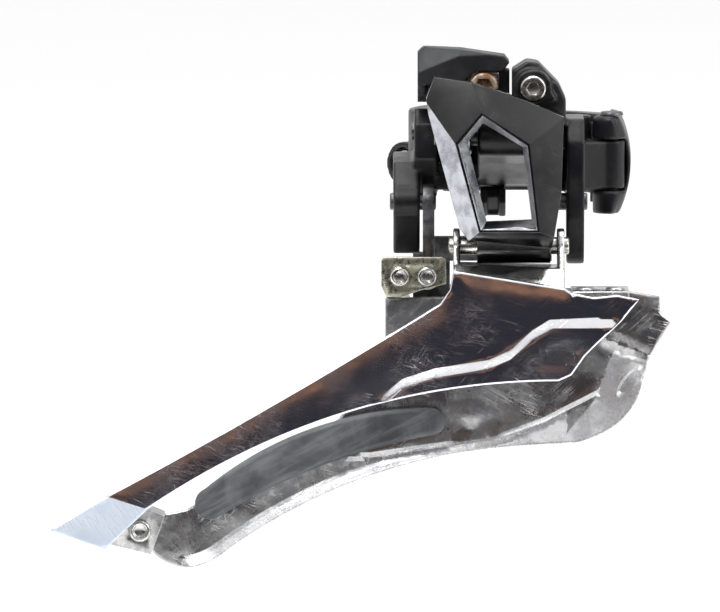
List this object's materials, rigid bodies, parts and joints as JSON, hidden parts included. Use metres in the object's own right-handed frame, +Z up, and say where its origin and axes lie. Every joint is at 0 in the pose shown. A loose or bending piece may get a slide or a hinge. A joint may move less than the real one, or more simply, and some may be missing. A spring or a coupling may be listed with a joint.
{
  "type": "bicycle front derailleur",
  "caption": "Hinged clamp on a seat tube with a linkage that swings a slotted cage to move a bicycle chain between chainrings.",
  "frame": {"origin": "on the seat tube's axis, at the clamp's mid height", "axes": "+Z up along the seat tube, +X forward, -Y outboard toward the crank"},
  "size_m": [0.1071, 0.0721, 0.0899],
  "materials": {
    "satin_black": "satin black coating, worn at the edges",
    "gloss_black": "glossy black facets with bright bevels",
    "matt_black": "matt dark grey, moulded, fine grain",
    "chrome_plate": "polished, fine scratches",
    "nickel_plate": "nickel plated steel, worn, spots of rust",
    "grey_resin": "filled resin, scuffed",
    "dark_steel": "dark steel",
    "zinc_steel": "zinc plated",
    "yellow_zinc": "yellowish zinc plated steel",
    "rusty_steel": "steel with surface rust",
    "brass_bush": "plain bearing",
    "spring_steel": "drawn wire"
  },
  "bodies": {
    "base": {"base_body": "satin_black", "clamp_hinge_pin": "dark_steel", "inner_rear_pin": "dark_steel", "inner_front_pin": "dark_steel", "cable_arm_pin": "dark_steel", "link_bush": "brass_bush", "cable_guide": "matt_black", "return_spring": "spring_steel"},
    "clamp_band": {"clamp_band": "satin_black"},
    "clamp_bolt": {"clamp_bolt": "zinc_steel"},
    "outer_link": {"outer_link": "gloss_black", "outer_upper_pin": "dark_steel", "toggle_outer_pin": "dark_steel"},
    "inner_link": {"inner_link": "dark_steel"},
    "cable_arm": {"cable_arm": "matt_black", "toggle_arm_pin": "dark_steel", "cable_washer": "zinc_steel"},
    "cable_anchor_bolt": {"cable_anchor_bolt": "rusty_steel"},
    "toggle_link": {"toggle_link": "dark_steel"},
    "cable_adjust_bolt": {"cable_adjust_bolt": "zinc_steel"},
    "cage": {"outer_plate": "chrome_plate", "inner_plate": "nickel_plate", "nose_rivets": "nickel_plate", "skid_pad": "grey_resin", "tail_spacer": "nickel_plate", "tail_rivet": "zinc_steel", "limit_screw_bracket": "yellow_zinc", "bracket_rivet": "zinc_steel", "outer_lower_pin": "zinc_steel", "inner_lower_pin": "zinc_steel"},
    "low_limit_screw": {"low_limit_screw": "zinc_steel"},
    "high_limit_screw": {"high_limit_screw": "zinc_steel"}
  },
  "joints": [
    {"name": "link_swing", "type": "hinge", "parent": "base", "child": "outer_link", "pos_m": [0, -0.038, 0.0065], "axis": [-1, 0, 0], "range_deg": [0, 32], "stiffness_Nm_per_rad": 0.35, "springref_deg": -20.05},
    {"name": "inner_link_swing", "type": "hinge", "parent": "base", "child": "inner_link", "pos_m": [0, -0.029, -0.0054], "axis": [-1, 0, 0], "range_deg": [0, 32]},
    {"name": "cage_pivot", "type": "hinge", "parent": "outer_link", "child": "cage", "pos_m": [0, -0.036, -0.0125], "axis": [-1, 0, 0], "range_deg": [-32, 0]},
    {"name": "cable_arm_swing", "type": "hinge", "parent": "base", "child": "cable_arm", "pos_m": [0, -0.025, 0.0065], "axis": [-1, 0, 0], "range_deg": [0, 32]},
    {"name": "toggle_pivot", "type": "hinge", "parent": "cable_arm", "child": "toggle_link", "pos_m": [0, -0.0235, 0.0131], "axis": [-1, 0, 0], "range_deg": [-32, 0]},
    {"name": "clamp_band_open", "type": "hinge", "parent": "base", "child": "clamp_band", "pos_m": [0.016, -0.015, 0], "axis": [0, 0, -1], "range_deg": [0, 75]},
    {"name": "clamp_bolt_turn", "type": "hinge", "parent": "clamp_band", "child": "clamp_bolt", "pos_m": [-0.0162, 0.01518, -0.002], "axis": [0.6839, 0.7295, 0], "continuous": true},
    {"name": "adjust_bolt_turn", "type": "hinge", "parent": "base", "child": "cable_adjust_bolt", "pos_m": [0.0021, -0.033, 0.0147], "axis": [0, 1, 0], "continuous": true},
    {"name": "anchor_bolt_turn", "type": "hinge", "parent": "cable_arm", "child": "cable_anchor_bolt", "pos_m": [-0.0064, -0.028, 0.0146], "axis": [0, 1, 0], "continuous": true},
    {"name": "low_screw_turn", "type": "hinge", "parent": "cage", "child": "low_limit_screw", "pos_m": [-0.0209, -0.036, -0.0177], "axis": [0, 1, 0], "continuous": true},
    {"name": "high_screw_turn", "type": "hinge", "parent": "cage", "child": "high_limit_screw", "pos_m": [-0.0162, -0.036, -0.0177], "axis": [0, 1, 0], "continuous": true}
  ],
  "couplings": [
    {"joint": "inner_link_swing", "follows": "link_swing", "ratio": 1},
    {"joint": "cage_pivot", "follows": "link_swing", "ratio": -1},
    {"joint": "cable_arm_swing", "follows": "link_swing", "ratio": 1},
    {"joint": "toggle_pivot", "follows": "link_swing", "ratio": -1}
  ]
}
